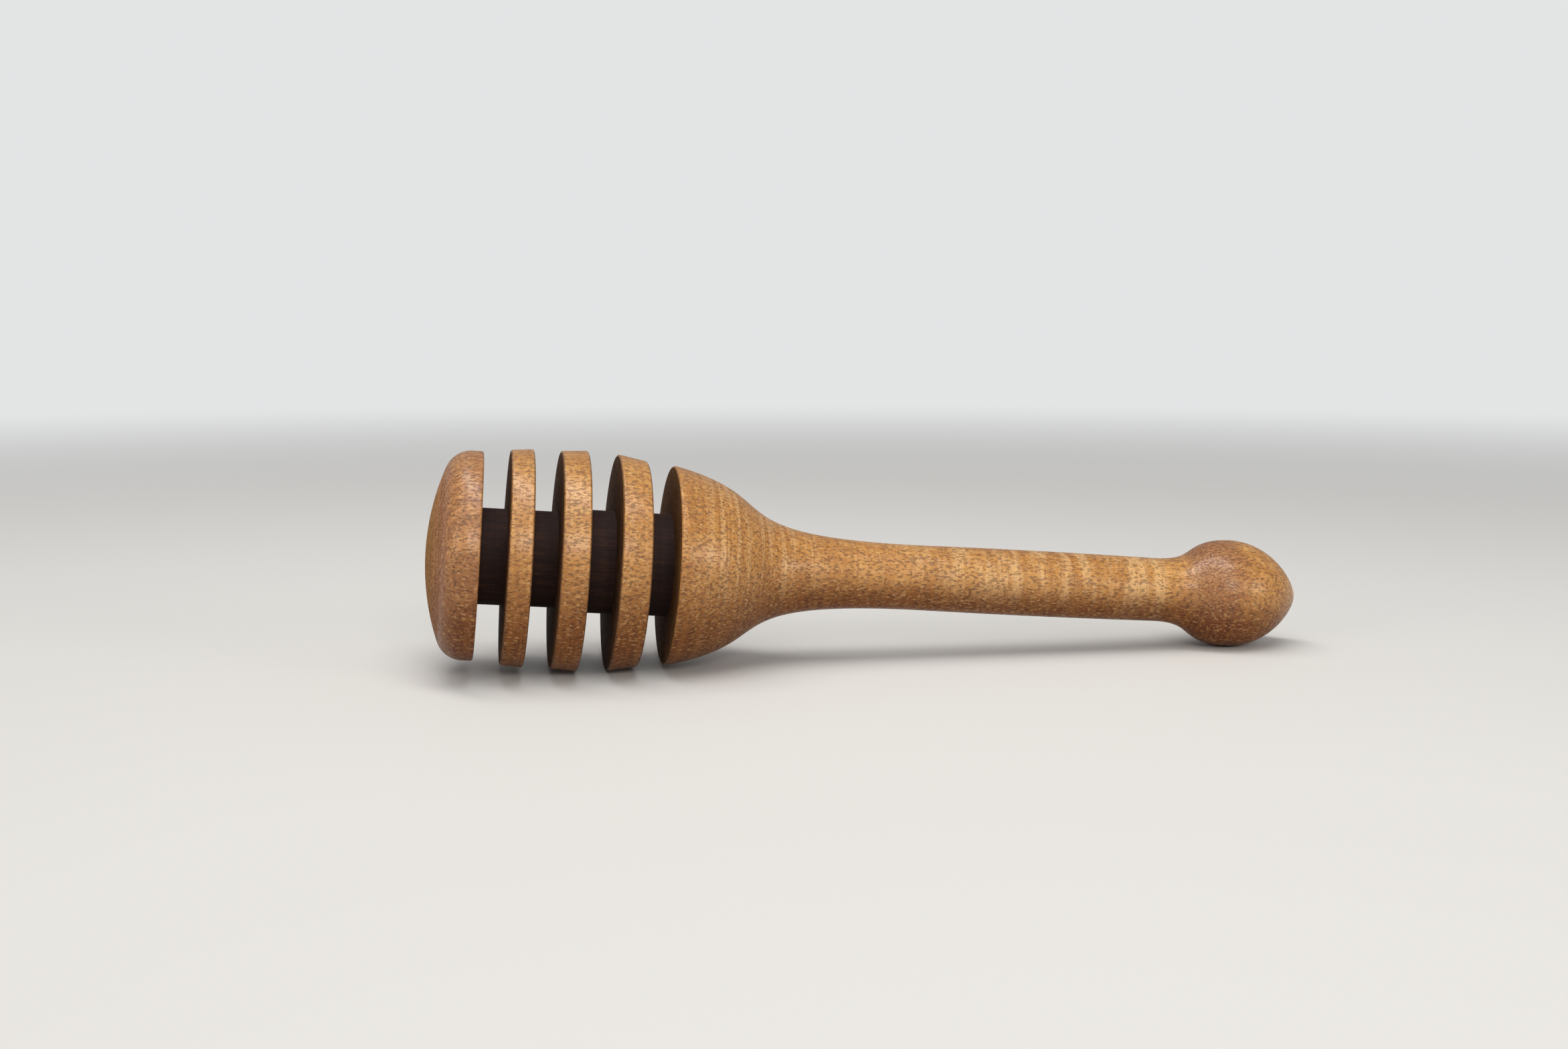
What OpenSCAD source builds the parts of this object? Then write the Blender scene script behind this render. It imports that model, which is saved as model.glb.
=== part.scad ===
// Honey dipper. A domed cap and three discs are threaded on a core dowel, which is glued
// into the shoulder of a turned handle with an egg-shaped ball end.
// It lies on a table on the rims of its head and on its ball end, with the head toward -X.
// All sizes are in millimetres. Along the axis everything is stacked from the cap's crown.

/* [End cap] */
// Largest diameter of the cap, at the rim next to the first groove
cap_d = 35.7; // [30:0.1:42]
// Thickness of the cap from its crown to its flat back
cap_thick = 8.8; // [8:0.1:12]
// Straight land of the rim next to the flat back
cap_land = 1.8; // [1:0.1:2.5]
// Radius of the corner between the dome and the rim
cap_corner_r = 4.6; // [3:0.1:5]
// Depth of the blind socket for the dowel
cap_socket_depth = 5; // [4:0.1:6]

/* [Discs] */
// Diameter of the first disc on the side of the cap
disc_1_d_front = 36.8; // [30:0.1:44]
// Diameter of the first disc on the side of the handle
disc_1_d_back = 37.4; // [30:0.1:44]
// Thickness of the first disc
disc_1_thick = 3.9; // [3:0.1:7]
// Diameter of the second disc on the side of the cap
disc_2_d_front = 37.5; // [30:0.1:44]
// Diameter of the second disc on the side of the handle
disc_2_d_back = 38; // [30:0.1:44]
// Thickness of the second disc
disc_2_thick = 4.6; // [3.6:0.1:7]
// Diameter of the third disc on the side of the cap
disc_3_d_front = 37.4; // [30:0.1:44]
// Diameter of the third disc on the side of the handle
disc_3_d_back = 35.8; // [30:0.1:44]
// Thickness of the third disc
disc_3_thick = 5.1; // [3:0.1:7]
// Rounding of the outer edges of the cap, the discs and the shoulder
edge_r = 0.4; // [0.2:0.05:0.8]

/* [Grooves] */
// Groove between the cap and the first disc
groove_1 = 4.5; // [3:0.1:8]
// Groove between the first and the second disc
groove_2 = 4.6; // [3:0.1:8]
// Groove between the second and the third disc
groove_3 = 5.1; // [3:0.1:8]
// Groove between the third disc and the shoulder
groove_4 = 4.7; // [3:0.1:8]

/* [Core dowel] */
// Diameter of the slim end, which carries the cap, the first and the second disc
dowel_slim_d = 16.5; // [13:0.1:17]
// Diameter of the full end, which carries the third disc and enters the handle
dowel_full_d = 17.8; // [17.2:0.1:20]
// Depth of the counterbore by which the second disc seats on the dowel's step
step_seat_depth = 2.2; // [1.5:0.1:3]
// Chamfer at both ends of the dowel
dowel_chamfer = 0.6; // [0.2:0.1:1]
// Glue gap between the dowel and each bore, on the radius
glue_gap = 0.1; // [0.05:0.01:0.2]
// Gap between the ends of the dowel and the floors of the two sockets
socket_gap = 0.5; // [0.3:0.1:1]

/* [Handle] */
// Diameter of the shoulder, at its flat face
shoulder_d = 34.7; // [30:0.1:42]
// Length over which the shoulder sweeps down to the grip
shoulder_length = 44; // [36:0.5:56]
// Depth of the blind socket for the dowel
handle_socket_depth = 12; // [8:0.5:14]
// Diameter of the grip at both of its ends
grip_d = 11.64; // [9:0.02:15]
// Length of the grip between the shoulder and the ball end
grip_length = 46.9; // [30:0.1:90]
// Growth of the grip's radius at its middle
grip_swell = 0.14; // [0:0.01:0.5]

/* [Ball end] */
// Largest diameter of the ball end
ball_d = 19.76; // [16:0.02:24]
// Length from the grip to the widest place
ball_neck_length = 14.3; // [12:0.1:20]
// Length from the widest place to the tip
ball_tip_length = 13.5; // [10:0.1:18]

/* [Node] */
// Sub-part to draw

/* [Hidden] */
$fn = 64;

// Places along the axis
disc_1_at = cap_thick + groove_1;
disc_2_at = disc_1_at + disc_1_thick + groove_2;
disc_3_at = disc_2_at + disc_2_thick + groove_3;
handle_at = disc_3_at + disc_3_thick + groove_4;
dowel_from = cap_thick - cap_socket_depth + socket_gap;
dowel_step = disc_2_at + disc_2_thick - step_seat_depth + glue_gap;
dowel_to = handle_at + handle_socket_depth - socket_gap;

// Bores follow the dowel
slim_bore_r = dowel_slim_d / 2 + glue_gap;
full_bore_r = dowel_full_d / 2 + glue_gap;

// A point of a cubic curve, and the run of n such points after its start
function cubic(a, b, c, d, u) =
    pow(1 - u, 3) * a + 3 * pow(1 - u, 2) * u * b + 3 * (1 - u) * u * u * c + pow(u, 3) * d;
function run(a, b, c, d, n) = [for (i = [1:n]) cubic(a, b, c, d, i / n)];

// A rounding of radius edge_r about a centre, between two directions
function rounding(r, z, from, to) =
    [for (i = [0:3]) let(w = from + (to - from) * i / 3) [r + edge_r * cos(w), z + edge_r * sin(w)]];

// Outside of the cap: a shallow dome that runs into the corner without a kink
corner_r_at = cap_d / 2 - cap_corner_r;
corner_z_at = cap_thick - cap_land;
dome_r = (pow(corner_r_at, 2) + pow(corner_z_at, 2) - pow(cap_corner_r, 2))
    / (2 * (corner_z_at - cap_corner_r));
dome_w = atan2(corner_r_at, dome_r - corner_z_at);
cap_outside = concat(
    [for (i = [0:5]) let(w = dome_w * i / 5) dome_r * [sin(w), 1 - cos(w)]],
    [for (i = [1:7]) let(w = dome_w + (90 - dome_w) * i / 7)
        [corner_r_at + cap_corner_r * sin(w), corner_z_at - cap_corner_r * cos(w)]],
    rounding(cap_d / 2 - edge_r, cap_thick - edge_r, 0, 90));

// Outside of a disc whose rim may be wider on one side
function disc_outside(d_front, d_back, thick) = concat(
    rounding(d_front / 2 - edge_r, edge_r, -90, 0),
    rounding(d_back / 2 - edge_r, thick - edge_r, 0, 90));

// Outside of the handle: shoulder, grip with a slight swell, neck and crown of the ball end
grip_r = grip_d / 2;
ball_r = ball_d / 2;
grip_at = shoulder_length;
ball_at = grip_at + grip_length;
crown_at = ball_at + ball_neck_length;
tip_at = crown_at + ball_tip_length;
shoulder_r = shoulder_d / 2;
handle_outside = concat(
    rounding(shoulder_r - edge_r, edge_r, -90, 0),
    run([shoulder_r, edge_r], [grip_r + 0.61 * (shoulder_r - grip_r), 0.477 * shoulder_length],
        [grip_r, 0.16 * shoulder_length], [grip_r, grip_at], 14),
    [for (i = [1:5]) [grip_r + grip_swell * sin(30 * i), grip_at + grip_length * i / 6]],
    [[grip_r, ball_at]],
    run([grip_r, ball_at], [grip_r, ball_at + 0.605 * ball_neck_length],
        [ball_r, crown_at - 0.55 * ball_neck_length], [ball_r, crown_at], 9),
    run([ball_r, crown_at], [ball_r, crown_at + 0.64 * ball_tip_length],
        [0.13 * ball_r, tip_at], [0, tip_at], 10));

// Every outline along the whole axis, head first
function along(points, at) = [for (p = points) [p[0], p[1] + at]];
head_points = concat(cap_outside,
    along(disc_outside(disc_1_d_front, disc_1_d_back, disc_1_thick), disc_1_at),
    along(disc_outside(disc_2_d_front, disc_2_d_back, disc_2_thick), disc_2_at),
    along(disc_outside(disc_3_d_front, disc_3_d_back, disc_3_thick), disc_3_at));
handle_points = along(handle_outside, handle_at);
ball_points = [for (p = handle_points) if (p[1] > handle_at + ball_at) p];
all_points = concat(head_points, handle_points);

// Rest: the straight line that touches the head and the ball end lies on the table
rest_tilt = max([for (h = concat(head_points, [[shoulder_r, handle_at + edge_r]]))
    min([for (b = ball_points) atan((h[0] - b[0]) / (b[1] - h[1]))])]);
rest_height = max([for (p = all_points) p[1] * sin(rest_tilt) + p[0] * cos(rest_tilt)]);
low_x = min([for (p = all_points) p[1] * cos(rest_tilt) - p[0] * sin(rest_tilt)]);
high_x = max([for (p = all_points) p[1] * cos(rest_tilt) + p[0] * sin(rest_tilt)]);

module at_rest(at = 0) {
    translate([-(low_x + high_x) / 2, 0, rest_height]) rotate([0, 90 + rest_tilt, 0])
        translate([0, 0, at]) children();
}

module end_cap() {
    color([0.74, 0.52, 0.33]) at_rest() rotate_extrude() polygon(concat(cap_outside, [
        [slim_bore_r, cap_thick],
        [slim_bore_r, cap_thick - cap_socket_depth],
        [0, cap_thick - cap_socket_depth]]));
}

module disc_1() {
    color([0.72, 0.49, 0.30]) at_rest(disc_1_at) rotate_extrude() polygon(concat(
        disc_outside(disc_1_d_front, disc_1_d_back, disc_1_thick),
        [[slim_bore_r, disc_1_thick], [slim_bore_r, 0]]));
}

module disc_2() {
    seat_at = disc_2_thick - step_seat_depth;
    color([0.74, 0.51, 0.32]) at_rest(disc_2_at) rotate_extrude() polygon(concat(
        disc_outside(disc_2_d_front, disc_2_d_back, disc_2_thick),
        [[full_bore_r, disc_2_thick], [full_bore_r, seat_at], [slim_bore_r, seat_at], [slim_bore_r, 0]]));
}

module disc_3() {
    color([0.72, 0.49, 0.30]) at_rest(disc_3_at) rotate_extrude() polygon(concat(
        disc_outside(disc_3_d_front, disc_3_d_back, disc_3_thick),
        [[full_bore_r, disc_3_thick], [full_bore_r, 0]]));
}

module core_dowel() {
    slim_r = dowel_slim_d / 2;
    full_r = dowel_full_d / 2;
    color([0.20, 0.13, 0.11]) at_rest() rotate_extrude() polygon([
        [0, dowel_from], [slim_r - dowel_chamfer, dowel_from], [slim_r, dowel_from + dowel_chamfer],
        [slim_r, dowel_step], [full_r, dowel_step],
        [full_r, dowel_to - dowel_chamfer], [full_r - dowel_chamfer, dowel_to], [0, dowel_to]]);
}

module handle() {
    color([0.73, 0.50, 0.31]) at_rest(handle_at) rotate_extrude() polygon(concat(
        [[0, handle_socket_depth], [full_bore_r, handle_socket_depth], [full_bore_r, 0]],
        handle_outside));
}

end_cap();
disc_1();
disc_2();
disc_3();
core_dowel();
handle();
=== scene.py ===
import math

import bpy
from mathutils import Matrix, Vector


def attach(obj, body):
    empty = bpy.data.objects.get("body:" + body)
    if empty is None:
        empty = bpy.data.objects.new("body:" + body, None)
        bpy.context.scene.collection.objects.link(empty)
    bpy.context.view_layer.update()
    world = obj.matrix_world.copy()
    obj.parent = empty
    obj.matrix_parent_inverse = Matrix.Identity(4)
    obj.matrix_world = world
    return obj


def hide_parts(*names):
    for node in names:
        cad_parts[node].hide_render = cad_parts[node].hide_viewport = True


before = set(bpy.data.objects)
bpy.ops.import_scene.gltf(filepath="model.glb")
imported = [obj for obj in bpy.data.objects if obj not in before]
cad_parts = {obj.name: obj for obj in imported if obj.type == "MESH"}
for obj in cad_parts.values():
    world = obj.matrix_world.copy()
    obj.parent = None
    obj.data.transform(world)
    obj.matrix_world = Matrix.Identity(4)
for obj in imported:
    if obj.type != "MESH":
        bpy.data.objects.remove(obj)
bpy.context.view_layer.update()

MM = 0.001

# ---------------------------------------------------------------- sizes, as in the CAD source, in mm
CAP_D, CAP_THICK, CAP_LAND, CAP_CORNER_R = 35.7, 8.8, 1.8, 4.6
DISCS = {  # front diameter, back diameter, thickness, bore
    "disc_1": (36.8, 37.4, 3.9, 16.7),
    "disc_2": (37.5, 38.0, 4.6, 16.7),
    "disc_3": (37.4, 35.8, 5.1, 18.0),
}
GROOVES = (4.5, 4.6, 5.1, 4.7)
EDGE_R = 0.4
SLIM_R, FULL_R = 8.25, 8.9
SHOULDER_D, SHOULDER_LENGTH = 34.7, 44.0
GRIP_D, GRIP_LENGTH, GRIP_SWELL = 11.64, 46.9, 0.14
BALL_D, BALL_NECK, BALL_TIP = 19.76, 14.3, 13.5
SOCKET_DEPTH_CAP, SOCKET_DEPTH_HANDLE = 5.0, 12.0

AT = {"end_cap": 0.0}
AT["disc_1"] = CAP_THICK + GROOVES[0]
AT["disc_2"] = AT["disc_1"] + DISCS["disc_1"][2] + GROOVES[1]
AT["disc_3"] = AT["disc_2"] + DISCS["disc_2"][2] + GROOVES[2]
AT["handle"] = AT["disc_3"] + DISCS["disc_3"][2] + GROOVES[3]

# The dipper's own axis in the row frame: where its crown lies, and how far it dips toward the ball end
TILT = math.radians(4.401)
CROWN = Vector((-79.702, 0.0, 21.0928)) * MM
AXIS_TO_ROW = Matrix.Translation(CROWN) @ Matrix.Rotation(TILT, 4, "Y")


# ---------------------------------------------------------------- outlines, as (radius, place along the axis)
def rounding(r, x, start, end, steps=6):
    return [(r + EDGE_R * math.cos(w), x + EDGE_R * math.sin(w))
            for w in (math.radians(start + (end - start) * i / steps) for i in range(steps + 1))]


def run(a, b, c, d, n):
    out = []
    for i in range(1, n + 1):
        u = i / n
        v = 1 - u
        out.append(tuple(v ** 3 * a[k] + 3 * v * v * u * b[k] + 3 * v * u * u * c[k] + u ** 3 * d[k]
                         for k in (0, 1)))
    return out


def cap_outline():
    r_at, x_at = CAP_D / 2 - CAP_CORNER_R, CAP_THICK - CAP_LAND
    dome_r = (r_at ** 2 + x_at ** 2 - CAP_CORNER_R ** 2) / (2 * (x_at - CAP_CORNER_R))
    turn = math.atan2(r_at, dome_r - x_at)
    dome = [(dome_r * math.sin(turn * i / 24), dome_r * (1 - math.cos(turn * i / 24))) for i in range(25)]
    corner = []
    for i in range(1, 17):
        w = turn + (math.pi / 2 - turn) * i / 16
        corner.append((r_at + CAP_CORNER_R * math.sin(w), x_at - CAP_CORNER_R * math.cos(w)))
    back = rounding(CAP_D / 2 - EDGE_R, CAP_THICK - EDGE_R, 0, 90)
    return dome + corner + back + [(9.0, CAP_THICK), (8.35, CAP_THICK),
                                   (8.35, CAP_THICK - SOCKET_DEPTH_CAP), (0, CAP_THICK - SOCKET_DEPTH_CAP)]


def disc_outline(front, back, thick, bore):
    rim = rounding(front / 2 - EDGE_R, EDGE_R, -90, 0) + rounding(back / 2 - EDGE_R, thick - EDGE_R, 0, 90)
    return [(bore / 2, 0), (bore / 2 + 0.5, 0)] + rim + [(bore / 2 + 0.5, thick), (bore / 2, thick), (bore / 2, 0)]


def handle_outline():
    r_s, r_g, r_b = SHOULDER_D / 2, GRIP_D / 2, BALL_D / 2
    ball_at = SHOULDER_LENGTH + GRIP_LENGTH
    crown = ball_at + BALL_NECK
    tip = crown + BALL_TIP
    out = [(0, SOCKET_DEPTH_HANDLE), (9.0, SOCKET_DEPTH_HANDLE), (9.0, 0), (9.6, 0)]
    out += rounding(r_s - EDGE_R, EDGE_R, -90, 0)
    out += run((r_s, EDGE_R), (r_g + 0.61 * (r_s - r_g), 0.477 * SHOULDER_LENGTH),
               (r_g, 0.16 * SHOULDER_LENGTH), (r_g, SHOULDER_LENGTH), 56)
    out += [(r_g + GRIP_SWELL * math.sin(math.pi * i / 30), SHOULDER_LENGTH + GRIP_LENGTH * i / 30)
            for i in range(1, 30)]
    out += [(r_g, ball_at)]
    out += run((r_g, ball_at), (r_g, ball_at + 0.605 * BALL_NECK),
               (r_b, crown - 0.55 * BALL_NECK), (r_b, crown), 36)
    out += run((r_b, crown), (r_b, crown + 0.64 * BALL_TIP), (0.13 * r_b, tip), (0, tip), 40)
    return out


def dowel_outline():
    start = CAP_THICK - SOCKET_DEPTH_CAP + 0.5
    step = AT["disc_2"] + DISCS["disc_2"][2] - 2.1
    end = AT["handle"] + SOCKET_DEPTH_HANDLE - 0.5
    return [(0, start), (SLIM_R - 0.6, start), (SLIM_R, start + 0.6), (SLIM_R, step), (FULL_R, step),
            (FULL_R, end - 0.6), (FULL_R - 0.6, end), (0, end)]


# ---------------------------------------------------------------- turned pieces
def turned(name, outline, at, sides=192):
    """A closed body of revolution. Points on the axis are single vertices; sharp corners stay sharp."""
    verts, faces, rings = [], [], []
    closed = outline[0] == outline[-1]
    points = outline[:-1] if closed else outline
    for r, x in points:
        if r == 0:
            rings.append([len(verts)])
            verts.append((x + at, 0.0, 0.0))
        else:
            rings.append(list(range(len(verts), len(verts) + sides)))
            for k in range(sides):
                w = 2 * math.pi * k / sides
                verts.append((x + at, r * math.sin(w), -r * math.cos(w)))
    pairs = list(zip(rings, rings[1:])) + ([(rings[-1], rings[0])] if closed else [])
    for a, b in pairs:
        for k in range(sides):
            j = (k + 1) % sides
            if len(a) == 1:
                faces.append((a[0], b[j], b[k]))
            elif len(b) == 1:
                faces.append((a[k], a[j], b[0]))
            else:
                faces.append((a[k], a[j], b[j], b[k]))
    mesh = bpy.data.meshes.new(name)
    mesh.from_pydata([AXIS_TO_ROW @ (Vector(v) * MM) for v in verts], [], faces)
    mesh.validate()
    import bmesh
    bm = bmesh.new()
    bm.from_mesh(mesh)
    bmesh.ops.recalc_face_normals(bm, faces=bm.faces)
    for edge in bm.edges:
        if len(edge.link_faces) == 2 and edge.calc_face_angle() > math.radians(35):
            edge.smooth = False
    for face in bm.faces:
        face.smooth = True
    bm.to_mesh(mesh)
    bm.free()
    obj = bpy.data.objects.new(name, mesh)
    bpy.context.scene.collection.objects.link(obj)
    return obj


# ---------------------------------------------------------------- wood
def srgb(r, g, b):
    def lin(c):
        c /= 255
        return c / 12.92 if c <= 0.04045 else ((c + 0.055) / 1.055) ** 2.4
    return (lin(r), lin(g), lin(b), 1.0)


class Nodes:
    """A short way to write a material's nodes."""

    def __init__(self, name):
        self.mat = bpy.data.materials.new(name)
        self.mat.use_nodes = True
        self.tree = self.mat.node_tree
        self.bsdf = self.tree.nodes["Principled BSDF"]

    def new(self, kind, **props):
        node = self.tree.nodes.new(kind)
        for key, value in props.items():
            setattr(node, key, value)
        return node

    def put(self, value, socket):
        if isinstance(value, bpy.types.NodeSocket):
            self.tree.links.new(value, socket)
        else:
            socket.default_value = value

    def math(self, op, *args, clamp=False):
        node = self.new("ShaderNodeMath", operation=op, use_clamp=clamp)
        for value, socket in zip(args, node.inputs):
            self.put(value, socket)
        return node.outputs[0]

    def noise(self, vector, scale, detail=2.0, rough=0.5, distortion=0.0):
        node = self.new("ShaderNodeTexNoise")
        self.put(vector, node.inputs["Vector"])
        self.put(scale, node.inputs["Scale"])
        self.put(detail, node.inputs["Detail"])
        self.put(rough, node.inputs["Roughness"])
        self.put(distortion, node.inputs["Distortion"])
        return node.outputs["Fac"]

    def stretched(self, vector, x, y, z, shift=(0, 0, 0)):
        node = self.new("ShaderNodeMapping")
        self.put(vector, node.inputs["Vector"])
        node.inputs["Location"].default_value = shift
        node.inputs["Scale"].default_value = (x, y, z)
        return node.outputs[0]

    def ramp(self, value, stops):
        node = self.new("ShaderNodeValToRGB")
        self.put(value, node.inputs[0])
        items = node.color_ramp.elements
        while len(items) < len(stops):
            items.new(0.5)
        for item, (place, colour) in zip(items, stops):
            item.position = place
            item.color = colour if len(colour) == 4 else (*colour, 1)
        return node.outputs[0]

    def step(self, value, low, high):
        node = self.new("ShaderNodeMapRange", interpolation_type="SMOOTHSTEP")
        for v, s in zip((value, low, high), (node.inputs[0], node.inputs[1], node.inputs[2])):
            self.put(v, s)
        return node.outputs[0]

    def mix(self, fac, a, b, blend="MIX"):
        node = self.new("ShaderNodeMix", data_type="RGBA", blend_type=blend)
        self.put(fac, node.inputs["Factor"])
        self.put(a, node.inputs[6])
        self.put(b, node.inputs[7])
        return node.outputs[2]


def wood(name, light, mid, dark, shift, face_stain=0.9, edge_line=0.6, fleck=0.72, ring_weight=0.07,
         patch=None):
    n = Nodes(name)
    coord = n.new("ShaderNodeTexCoord")
    own = n.new("ShaderNodeMapping", vector_type="TEXTURE")
    n.put(coord.outputs["Object"], own.inputs["Vector"])
    own.inputs["Location"].default_value = CROWN
    own.inputs["Rotation"].default_value = (0, TILT, 0)
    p = own.outputs[0]
    split = n.new("ShaderNodeSeparateXYZ")
    n.put(p, split.inputs[0])
    x, y = split.outputs[0], split.outputs[1]

    # growth layers lie nearly upright, facing the near side, and waver along the grain
    waver = n.noise(n.stretched(p, 1, 3, 3, shift), 14, 3, 0.55)
    layer = n.math("ADD", n.math("MULTIPLY_ADD", y, 1.0, n.math("MULTIPLY", x, 0.16)),
                   n.math("MULTIPLY", waver, 0.007))
    ring = n.math("FRACT", n.math("MULTIPLY", layer, 520.0))
    late = n.math("MULTIPLY", n.step(ring, 0.0, 0.7), n.step(ring, 1.0, 0.75))
    streak = n.noise(n.stretched(p, 1, 16, 16, shift), 60, 4, 0.6)
    cloud = n.noise(n.stretched(p, 0.7, 1.4, 1.4, shift), 70, 4, 0.65)
    tone = n.math("ADD", n.math("MULTIPLY", late, ring_weight),
                  n.math("ADD", n.math("MULTIPLY", streak, 0.46), n.math("MULTIPLY", cloud, 0.46)))
    colour = n.ramp(tone, [(0.28, light), (0.50, mid), (0.74, dark)])
    if patch:
        colour = patch(n, colour, p, x)
    # painted shade: faces whose normal points down are mixed toward a dark warm brown, shade and warm bounce
    # painted on the underside
    sep = n.new("ShaderNodeSeparateXYZ")
    n.put(coord.outputs["Normal"], sep.inputs[0])
    low = n.step(sep.outputs[2], 0.30, -0.65)
    colour = n.mix(n.math("MULTIPLY", low, 0.84), colour, srgb(92, 42, 12))

    # fine pores: dark ticks along the grain, and between them pale painted glints, small painted highlights
    pore = n.noise(n.stretched(p, 1, 2.2, 2.2, shift), 1250, 2.0, 0.6)
    tick = n.step(pore, 0.52, 0.60)
    colour = n.mix(n.math("MULTIPLY", tick, fleck), colour, n.mix(0.80, colour, srgb(64, 30, 14)))
    glint = n.step(n.noise(n.stretched(p, 1, 2.4, 2.4, (0.3, 0.1, 0.2)), 1200, 1, 0.5), 0.55, 0.66)
    colour = n.mix(n.math("MULTIPLY", glint, 0.30), colour, srgb(224, 180, 122))

    # turning lines run round the piece
    turn = n.noise(n.stretched(p, 1, 0.02, 0.02), 1400, 2, 0.7)
    colour = n.mix(n.math("MULTIPLY", n.step(turn, 0.48, 0.62), 0.34), colour, dark)

    # end grain on the flat faces drinks the oil and goes grey-brown, and the corners are burnished
    axis = n.new("ShaderNodeVectorMath", operation="DOT_PRODUCT")
    n.put(coord.outputs["Normal"], axis.inputs[0])
    axis.inputs[1].default_value = (math.cos(TILT), 0, -math.sin(TILT))
    facing = n.math("ABSOLUTE", axis.outputs["Value"])
    end_grain = n.step(facing, 0.86, 0.995)
    mottle = n.noise(p, 420, 4, 0.7)
    stain = n.ramp(mottle, [(0.3, srgb(38, 22, 16)), (0.7, srgb(88, 58, 40))])
    colour = n.mix(n.math("MULTIPLY", end_grain, face_stain), colour, stain)
    corner = n.math("MULTIPLY", n.step(facing, 0.35, 0.62), n.step(facing, 0.98, 0.72))
    colour = n.mix(n.math("MULTIPLY", corner, edge_line), colour, srgb(58, 32, 20))

    n.put(colour, n.bsdf.inputs["Base Color"])
    rough = n.math("MULTIPLY_ADD", cloud, 0.14, n.math("MULTIPLY_ADD", tick, 0.14,
                  n.math("MULTIPLY_ADD", end_grain, 0.45, 0.28)))
    n.put(rough, n.bsdf.inputs["Roughness"])
    # less sheen on the end grain, and less on the underside under its painted shade
    dry = n.math("MULTIPLY", n.math("SUBTRACT", 1.0, end_grain),
                 n.math("MULTIPLY_ADD", low, -0.80, 1.0))
    n.put(n.math("MULTIPLY_ADD", dry, 0.42, 0.08), n.bsdf.inputs["Specular IOR Level"])
    n.put(n.math("MULTIPLY", dry, 0.20), n.bsdf.inputs["Coat Weight"])
    n.bsdf.inputs["Coat Roughness"].default_value = 0.28
    height = n.math("SUBTRACT", n.math("MULTIPLY", turn, 0.5), n.math("MULTIPLY", tick, 0.6))
    bump = n.new("ShaderNodeBump")
    bump.inputs["Strength"].default_value = 0.80
    bump.inputs["Distance"].default_value = 0.00014
    n.put(height, bump.inputs["Height"])
    n.put(bump.outputs[0], n.bsdf.inputs["Normal"])
    return n.mat


def handle_patches(n, colour, p, x):
    """Cross bands of curly figure on the grip painted pale as their shimmer, turning lines on the shoulder painted
    pale as their highlight, and the ball end's darker patch.
    """
    # painted highlight: the grip's cross bands of figure are painted pale, standing in for their shimmer under the
    # light
    band = n.step(n.noise(n.stretched(p, 1, 0.25, 0.25), 420, 2, 0.6), 0.44, 0.60)
    on_grip = n.math("MULTIPLY", n.step(x, 0.070, 0.100), n.step(x, 0.142, 0.130))
    colour = n.mix(n.math("MULTIPLY", n.math("MULTIPLY", band, on_grip), 0.45), colour, srgb(230, 188, 130))
    # painted highlight: fine turning lines on the shoulder are painted pale, standing in for their sparkle in the
    # highlight
    lines = n.step(n.noise(n.stretched(p, 1, 0.03, 0.03), 1300, 1, 0.5), 0.50, 0.60)
    on_shoulder = n.math("MULTIPLY", n.step(x, 0.0430, 0.0500), n.step(x, 0.0740, 0.0600))
    colour = n.mix(n.math("MULTIPLY", n.math("MULTIPLY", lines, on_shoulder), 0.38), colour, srgb(226, 184, 128))
    edge = n.math("MULTIPLY_ADD", n.noise(p, 160, 3, 0.6), 0.010, x)
    on_ball = n.math("MULTIPLY", n.step(edge, 0.1395, 0.1440), n.step(edge, 0.1525, 0.1485))
    return n.mix(n.math("MULTIPLY", on_ball, 0.50), colour, srgb(116, 62, 48))


def cap_patches(n, colour, p, x):
    """Growth layers cut by the dome show as a yellow band at the crown and a pink-brown one round it."""
    wave = n.math("MULTIPLY_ADD", n.noise(p, 120, 2, 0.5), 0.0010, x)
    crown = n.step(wave, 0.0021, 0.0012)
    around = n.math("MULTIPLY", n.step(wave, 0.0018, 0.0026), n.step(wave, 0.0048, 0.0034))
    colour = n.mix(n.math("MULTIPLY", crown, 0.35), colour, srgb(172, 140, 84))
    return n.mix(n.math("MULTIPLY", around, 0.35), colour, srgb(156, 100, 78))


WOOD_LIGHT, WOOD_MID, WOOD_DARK = srgb(206, 154, 84), srgb(184, 127, 61), srgb(148, 93, 39)
HANDLE_WOOD = wood("handle_wood", WOOD_LIGHT, WOOD_MID, WOOD_DARK, (0.02, 0.01, 0.03),
                   face_stain=0.75, edge_line=0.0, patch=handle_patches)
CAP_WOOD = wood("cap_wood", srgb(206, 150, 92), srgb(176, 120, 68), srgb(138, 88, 48), (0.3, 0.2, 0.1),
                face_stain=0.10, edge_line=0.0, ring_weight=0.16, patch=cap_patches)
DISC_WOODS = {
    "disc_1": wood("disc_1_wood", WOOD_LIGHT, WOOD_MID, WOOD_DARK, (0.5, 0.1, 0.2)),
    "disc_2": wood("disc_2_wood", WOOD_LIGHT, WOOD_MID, WOOD_DARK, (0.7, 0.4, 0.1)),
    "disc_3": wood("disc_3_wood", WOOD_LIGHT, WOOD_MID, WOOD_DARK, (0.9, 0.2, 0.6)),
}


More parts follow.
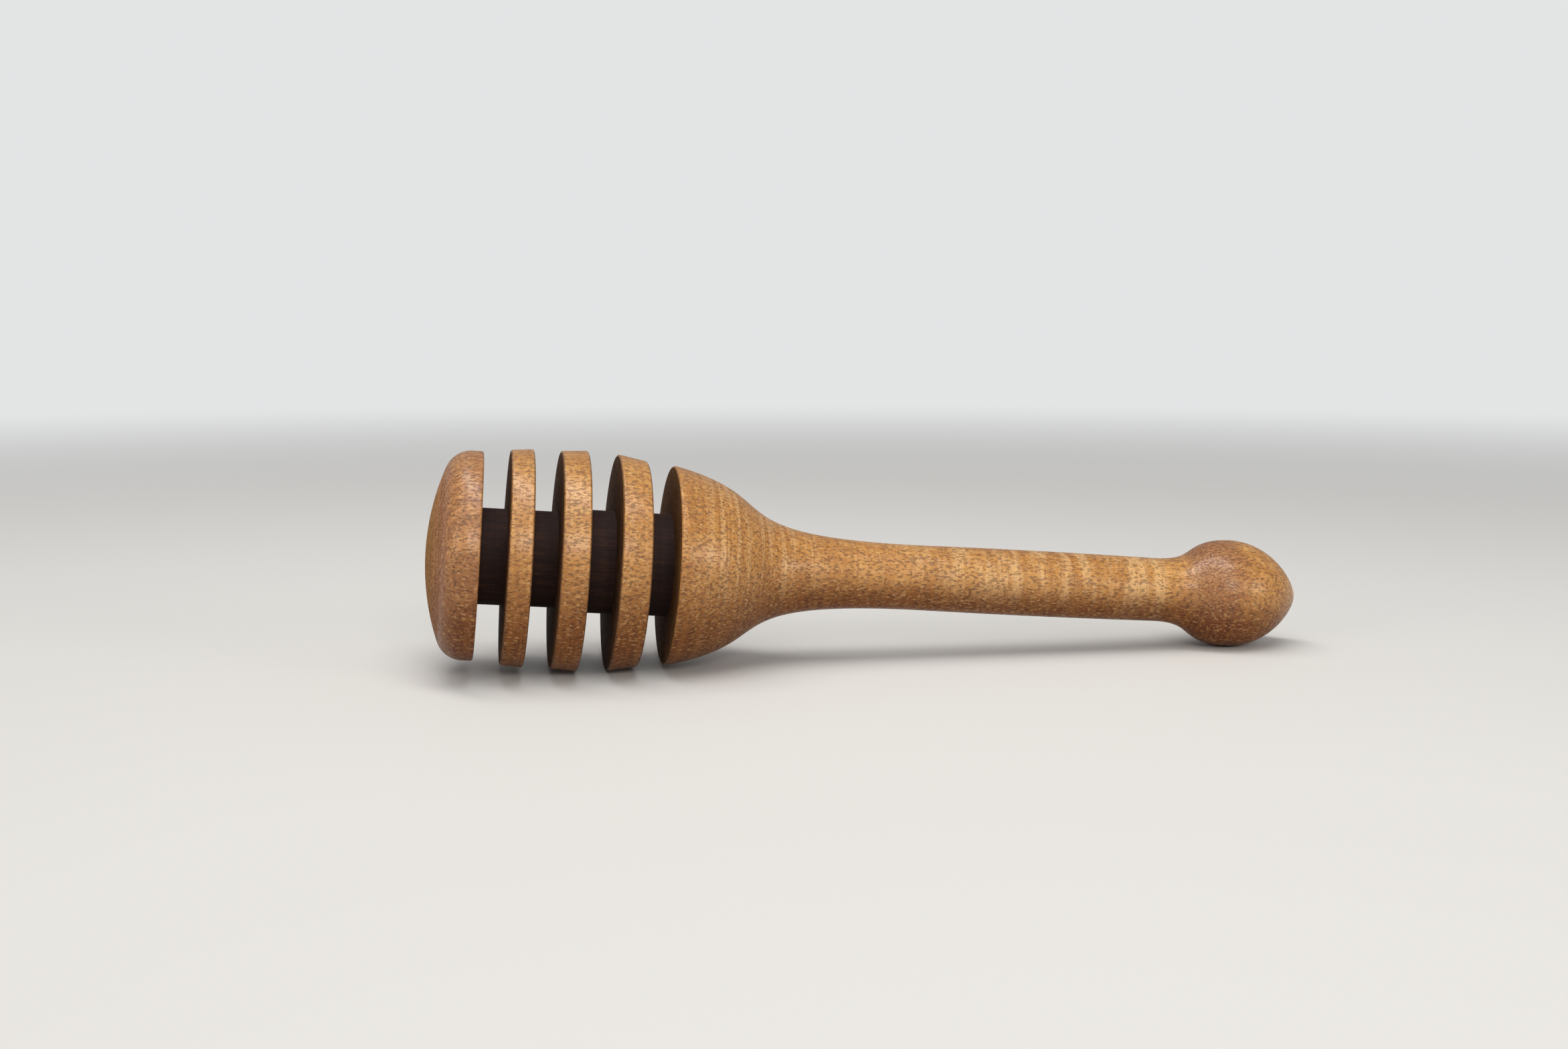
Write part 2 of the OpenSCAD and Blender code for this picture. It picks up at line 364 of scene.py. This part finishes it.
def core_wood():
    n = Nodes("core_wood")
    coord = n.new("ShaderNodeTexCoord")
    own = n.new("ShaderNodeMapping", vector_type="TEXTURE")
    n.put(coord.outputs["Object"], own.inputs["Vector"])
    own.inputs["Location"].default_value = CROWN
    own.inputs["Rotation"].default_value = (0, TILT, 0)
    p = own.outputs[0]
    streak = n.noise(n.stretched(p, 1, 8, 8), 160, 4, 0.65)
    band = n.noise(n.stretched(p, 1, 0.05, 0.05), 700, 2, 0.6)
    tone = n.math("ADD", n.math("MULTIPLY", streak, 0.7), n.math("MULTIPLY", band, 0.3))
    # painted shade: the core is coloured very dark brown, partly its own darker wood and partly the shade of the
    # narrow grooves painted in
    n.put(n.ramp(tone, [(0.30, srgb(26, 12, 9)), (0.52, srgb(44, 24, 18)), (0.74, srgb(78, 48, 34))]),
          n.bsdf.inputs["Base Color"])
    n.put(n.math("MULTIPLY_ADD", streak, 0.20, 0.62), n.bsdf.inputs["Roughness"])
    n.bsdf.inputs["Specular IOR Level"].default_value = 0.25
    bump = n.new("ShaderNodeBump")
    bump.inputs["Strength"].default_value = 0.4
    bump.inputs["Distance"].default_value = 0.00008
    n.put(tone, bump.inputs["Height"])
    n.put(bump.outputs[0], n.bsdf.inputs["Normal"])
    return n.mat


# ---------------------------------------------------------------- pieces
PIECES = [
    ("cap_turned", cap_outline(), "end_cap", CAP_WOOD, "cap_wood"),
    ("dowel_turned", dowel_outline(), "core_dowel", core_wood(), "core_wood"),
    ("handle_turned", handle_outline(), "handle", HANDLE_WOOD, "handle_wood"),
]
for disc, (front, back, thick, bore) in DISCS.items():
    PIECES.append((disc + "_turned", disc_outline(front, back, thick, bore), disc, DISC_WOODS[disc], "disc_wood"))
for name, outline, node, material, slot in PIECES:
    piece = turned(name, outline, AT.get(node, 0.0))
    piece.data.materials.append(material)
    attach(piece, "root")
    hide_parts(node)
for node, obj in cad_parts.items():
    chosen = {"end_cap": CAP_WOOD, "handle": HANDLE_WOOD}.get(node) or DISC_WOODS.get(node)
    if chosen:
        obj.data.materials.clear()
        obj.data.materials.append(chosen)

# ---------------------------------------------------------------- floor, light and camera
floor_mesh = bpy.data.meshes.new("floor")
floor_mesh.from_pydata([(-6, -6, 0), (6, -6, 0), (6, 6, 0), (-6, 6, 0)], [], [(0, 1, 2, 3)])
floor = bpy.data.objects.new("floor", floor_mesh)
bpy.context.scene.collection.objects.link(floor)
fn = Nodes("floor_pale")
fn.bsdf.inputs["Base Color"].default_value = srgb(220, 218, 214)
fn.bsdf.inputs["Roughness"].default_value = 0.62
# far off, the floor runs into the pale background without an edge
PALE = (0.77, 0.775, 0.78, 1)
place = fn.new("ShaderNodeTexCoord")
off = fn.new("ShaderNodeVectorMath", operation="LENGTH")
fn.put(place.outputs["Object"], off.inputs[0])
glow = fn.new("ShaderNodeEmission")
glow.inputs["Color"].default_value = PALE
fade = fn.new("ShaderNodeMixShader")
fn.put(fn.step(off.outputs["Value"], 0.22, 1.1), fade.inputs[0])
fn.put(fn.bsdf.outputs[0], fade.inputs[1])
fn.put(glow.outputs[0], fade.inputs[2])
fn.put(fade.outputs[0], fn.tree.nodes["Material Output"].inputs[0])
floor.data.materials.append(fn.mat)

world = bpy.data.worlds.new("studio")
world.use_nodes = True
sky = world.node_tree.nodes["Background"]
sky.inputs["Color"].default_value = (0.93, 0.96, 1.0, 1)
sky.inputs["Strength"].default_value = 0.32
backdrop = world.node_tree.nodes.new("ShaderNodeBackground")
backdrop.inputs["Color"].default_value = PALE
backdrop.inputs["Strength"].default_value = 1.0
rays = world.node_tree.nodes.new("ShaderNodeLightPath")
either = world.node_tree.nodes.new("ShaderNodeMixShader")
world.node_tree.links.new(rays.outputs["Is Camera Ray"], either.inputs[0])
world.node_tree.links.new(sky.outputs[0], either.inputs[1])
world.node_tree.links.new(backdrop.outputs[0], either.inputs[2])
world.node_tree.links.new(either.outputs[0], world.node_tree.nodes["World Output"].inputs[0])
bpy.context.scene.world = world


def softbox(name, place, aim, size, power, colour=(1, 1, 1)):
    light = bpy.data.lights.new(name, "AREA")
    light.shape = "RECTANGLE"
    light.size, light.size_y = size
    light.energy = power
    light.color = colour
    obj = bpy.data.objects.new(name, light)
    bpy.context.scene.collection.objects.link(obj)
    obj.location = place
    obj.rotation_euler = (Vector(aim) - Vector(place)).to_track_quat("-Z", "Y").to_euler()


softbox("softbox_top", (-0.05, -0.04, 0.50), (0, 0, 0.02), (0.60, 0.12), 1.4, (1.0, 0.97, 0.93))
softbox("softbox_left", (-0.70, -0.45, 0.30), (0, 0, 0.02), (0.30, 0.30), 0.8, (1.0, 0.97, 0.93))
softbox("softbox_front", (0.02, -0.85, 0.42), (0, 0, 0.02), (0.30, 0.22), 2.0, (1.0, 0.98, 0.95))
softbox("softbox_right", (0.62, -0.62, 0.26), (0, 0, 0.02), (0.26, 0.26), 1.3, (1.0, 0.98, 0.95))
even = bpy.data.lights.new("even_light", "SUN")
even.energy = 0.80
even.angle = math.radians(50)
even_obj = bpy.data.objects.new("even_light", even)
even_obj.rotation_euler = (math.radians(24), math.radians(-14), 0)
bpy.context.scene.collection.objects.link(even_obj)

# The camera as fitted to the photograph: place of the first disc's front face and direction of the axis
# in the camera's own frame (right, down, forward), and its slope down
FOCAL_PX, WIDTH_PX = 2479.6, 2343.0
TURN, DIP, SLOPE = math.radians(11.455), math.radians(3.113), math.radians(6.60)
DISC_1_SEEN = Vector((-47.73, 5.577, 283.67)) * MM
axis_cam = Vector((math.cos(TURN) * math.cos(DIP), math.sin(DIP), math.sin(TURN) * math.cos(DIP)))
up_cam = Vector((0, -math.cos(SLOPE), -math.sin(SLOPE)))
x_cam = (axis_cam + math.sin(TILT) * up_cam).normalized()
x_cam = (x_cam - up_cam * x_cam.dot(up_cam)).normalized()
y_cam = up_cam.cross(x_cam)
to_row = Matrix((x_cam, y_cam, up_cam))
disc_1_row = AXIS_TO_ROW @ (Vector((AT["disc_1"], 0, 0)) * MM)
eye = disc_1_row - to_row @ DISC_1_SEEN
right, down, ahead = (to_row @ Vector(v) for v in ((1, 0, 0), (0, 1, 0), (0, 0, 1)))
cam_data = bpy.data.cameras.new("camera")
cam_data.sensor_width = 36
cam_data.lens = 36 * FOCAL_PX / WIDTH_PX
cam_data.clip_start = 0.01
camera = bpy.data.objects.new("camera", cam_data)
bpy.context.scene.collection.objects.link(camera)
camera.matrix_world = Matrix.Translation(eye) @ Matrix((right, -down, -ahead)).transposed().to_4x4()
bpy.context.scene.camera = camera
bpy.context.scene.view_settings.view_transform = "Standard"
